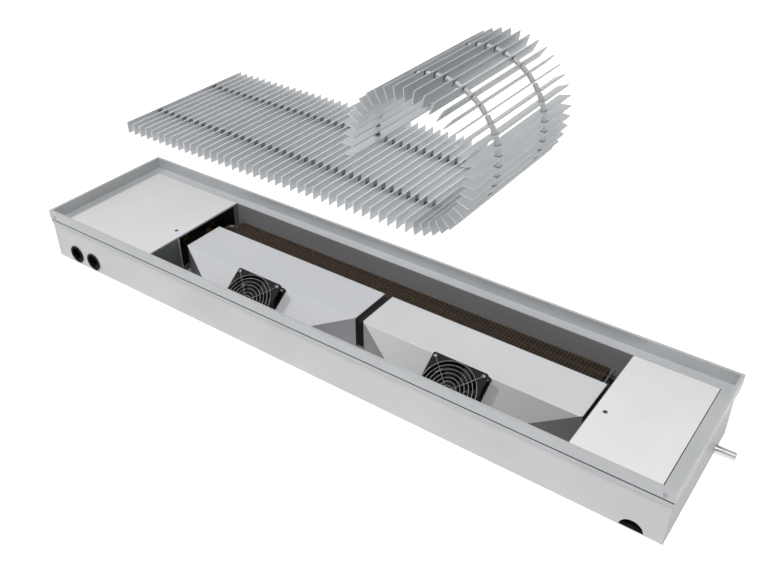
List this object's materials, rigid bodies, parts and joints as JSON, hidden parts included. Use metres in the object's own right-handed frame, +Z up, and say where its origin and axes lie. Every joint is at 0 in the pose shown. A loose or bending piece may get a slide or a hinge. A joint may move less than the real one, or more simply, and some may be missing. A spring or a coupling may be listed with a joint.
{
  "type": "trench convector heater",
  "caption": "Floor trench convector with blower fans, finned heat exchanger, screwed covers and a roll-up blade grille raised above its open tray.",
  "frame": {"origin": "middle of the tray's underside", "axes": "+X along the trench towards the drain end, +Y from the pipe entry side to the exchanger side, +Z up"},
  "size_m": [1.544, 0.3424, 0.6514],
  "materials": {
    "coated_sheet": "satin",
    "anodised_aluminium": "satin",
    "zinced_steel": "satin",
    "black_rubber": "matte",
    "cover_sheet": "satin",
    "dark_screw": "satin",
    "white_sheet": "satin",
    "black_foam": "matte",
    "black_plastic": "matte",
    "guard_wire": "gloss",
    "fin_sheet": "matte",
    "copper_tube": "satin",
    "brass_fitting": "satin",
    "polished_steel": "polished",
    "grey_plastic": "matte",
    "grille_aluminium": "satin",
    "spring_steel": "satin"
  },
  "bodies": {
    "casing": {"tray_floor": "coated_sheet", "tray_front_wall": "coated_sheet", "tray_back_wall": "coated_sheet", "tray_end_walls": "coated_sheet", "frame_front": "anodised_aluminium", "frame_back": "anodised_aluminium", "frame_left": "anodised_aluminium", "frame_right": "anodised_aluminium", "corner_keys": "zinced_steel", "corner_screws": "zinced_steel", "supply_grommet": "black_rubber", "return_grommet": "black_rubber", "left_cover": "cover_sheet", "right_cover": "cover_sheet", "cover_rests": "zinced_steel", "cover_screws": "dark_screw", "left_partition": "coated_sheet", "right_partition": "coated_sheet", "left_hood": "white_sheet", "right_hood": "white_sheet", "hood_seal": "black_foam", "left_fan_frame": "black_plastic", "right_fan_frame": "black_plastic", "left_fan_guard": "guard_wire", "right_fan_guard": "guard_wire", "fan_screws": "zinced_steel", "exchanger_fins": "fin_sheet", "exchanger_tubes": "copper_tube", "exchanger_end_plates": "zinced_steel", "water_connections": "brass_fitting", "air_vent": "brass_fitting", "drip_tray": "zinced_steel", "drain_pipe": "polished_steel", "drain_hose": "black_rubber", "drain_nut": "black_plastic", "terminal_box": "grey_plastic", "terminal_box_lid": "grey_plastic", "cable_gland": "black_plastic"},
    "left_impeller_body": {"left_impeller": "black_plastic"},
    "right_impeller_body": {"right_impeller": "black_plastic"},
    "grille_flat_body": {"grille_blades": "grille_aluminium", "grille_sleeves": "grille_aluminium", "grille_springs": "spring_steel"},
    "link_01_body": {"roll_link_01": "grille_aluminium"},
    "link_02_body": {"roll_link_02": "grille_aluminium"},
    "link_03_body": {"roll_link_03": "grille_aluminium"},
    "link_04_body": {"roll_link_04": "grille_aluminium"},
    "link_05_body": {"roll_link_05": "grille_aluminium"},
    "link_06_body": {"roll_link_06": "grille_aluminium"},
    "link_07_body": {"roll_link_07": "grille_aluminium"},
    "link_08_body": {"roll_link_08": "grille_aluminium"},
    "link_09_body": {"roll_link_09": "grille_aluminium"},
    "link_10_body": {"roll_link_10": "grille_aluminium"},
    "link_11_body": {"roll_link_11": "grille_aluminium"},
    "link_12_body": {"roll_link_12": "grille_aluminium"},
    "link_13_body": {"roll_link_13": "grille_aluminium"},
    "link_14_body": {"roll_link_14": "grille_aluminium"},
    "link_15_body": {"roll_link_15": "grille_aluminium"},
    "link_16_body": {"roll_link_16": "grille_aluminium"}
  },
  "joints": [
    {"name": "left_fan_spin", "type": "hinge", "parent": "casing", "child": "left_impeller_body", "pos_m": [-0.19575, -0.09447, 0.03797], "axis": [0, -0.5878, 0.809], "continuous": true},
    {"name": "right_fan_spin", "type": "hinge", "parent": "casing", "child": "right_impeller_body", "pos_m": [0.30575, -0.09447, 0.03797], "axis": [0, -0.5878, 0.809], "continuous": true},
    {"name": "grille_lift", "type": "slide", "parent": "casing", "child": "grille_flat_body", "axis": [0.2211, 0, 0.9753], "range_m": [-0.31663, 0]},
    {"name": "roll_hinge_01", "type": "hinge", "parent": "grille_flat_body", "child": "link_01_body", "pos_m": [0.25384, 0, 0.41466], "axis": [0, 1, 0], "range_deg": [0, 13.02]},
    {"name": "roll_hinge_02", "type": "hinge", "parent": "link_01_body", "child": "link_02_body", "pos_m": [0.28747, 0, 0.42243], "axis": [0, 1, 0], "range_deg": [0, 17.4]},
    {"name": "roll_hinge_03", "type": "hinge", "parent": "link_02_body", "child": "link_03_body", "pos_m": [0.31725, 0, 0.43989], "axis": [0, 1, 0], "range_deg": [0, 17.4]},
    {"name": "roll_hinge_04", "type": "hinge", "parent": "link_03_body", "child": "link_04_body", "pos_m": [0.34047, 0, 0.46544], "axis": [0, 1, 0], "range_deg": [0, 17.4]},
    {"name": "roll_hinge_05", "type": "hinge", "parent": "link_04_body", "child": "link_05_body", "pos_m": [0.355, 0, 0.49675], "axis": [0, 1, 0], "range_deg": [0, 17.4]},
    {"name": "roll_hinge_06", "type": "hinge", "parent": "link_05_body", "child": "link_06_body", "pos_m": [0.35953, 0, 0.53098], "axis": [0, 1, 0], "range_deg": [0, 17.4]},
    {"name": "roll_hinge_07", "type": "hinge", "parent": "link_06_body", "child": "link_07_body", "pos_m": [0.35364, 0, 0.56499], "axis": [0, 1, 0], "range_deg": [0, 17.4]},
    {"name": "roll_hinge_08", "type": "hinge", "parent": "link_07_body", "child": "link_08_body", "pos_m": [0.33787, 0, 0.5957], "axis": [0, 1, 0], "range_deg": [0, 17.4]},
    {"name": "roll_hinge_09", "type": "hinge", "parent": "link_08_body", "child": "link_09_body", "pos_m": [0.31366, 0, 0.62031], "axis": [0, 1, 0], "range_deg": [0, 17.4]},
    {"name": "roll_hinge_10", "type": "hinge", "parent": "link_09_body", "child": "link_10_body", "pos_m": [0.28321, 0, 0.63657], "axis": [0, 1, 0], "range_deg": [0, 17.4]},
    {"name": "roll_hinge_11", "type": "hinge", "parent": "link_10_body", "child": "link_11_body", "pos_m": [0.24929, 0, 0.643], "axis": [0, 1, 0], "range_deg": [0, 17.4]},
    {"name": "roll_hinge_12", "type": "hinge", "parent": "link_11_body", "child": "link_12_body", "pos_m": [0.215, 0, 0.63902], "axis": [0, 1, 0], "range_deg": [0, 17.4]},
    {"name": "roll_hinge_13", "type": "hinge", "parent": "link_12_body", "child": "link_13_body", "pos_m": [0.18346, 0, 0.62499], "axis": [0, 1, 0], "range_deg": [0, 17.4]},
    {"name": "roll_hinge_14", "type": "hinge", "parent": "link_13_body", "child": "link_14_body", "pos_m": [0.15754, 0, 0.60219], "axis": [0, 1, 0], "range_deg": [0, 17.4]},
    {"name": "roll_hinge_15", "type": "hinge", "parent": "link_14_body", "child": "link_15_body", "pos_m": [0.13961, 0, 0.57269], "axis": [0, 1, 0], "range_deg": [0, 17.4]},
    {"name": "roll_hinge_16", "type": "hinge", "parent": "link_15_body", "child": "link_16_body", "pos_m": [0.13129, 0, 0.53919], "axis": [0, 1, 0], "range_deg": [0, 17.4]}
  ]
}
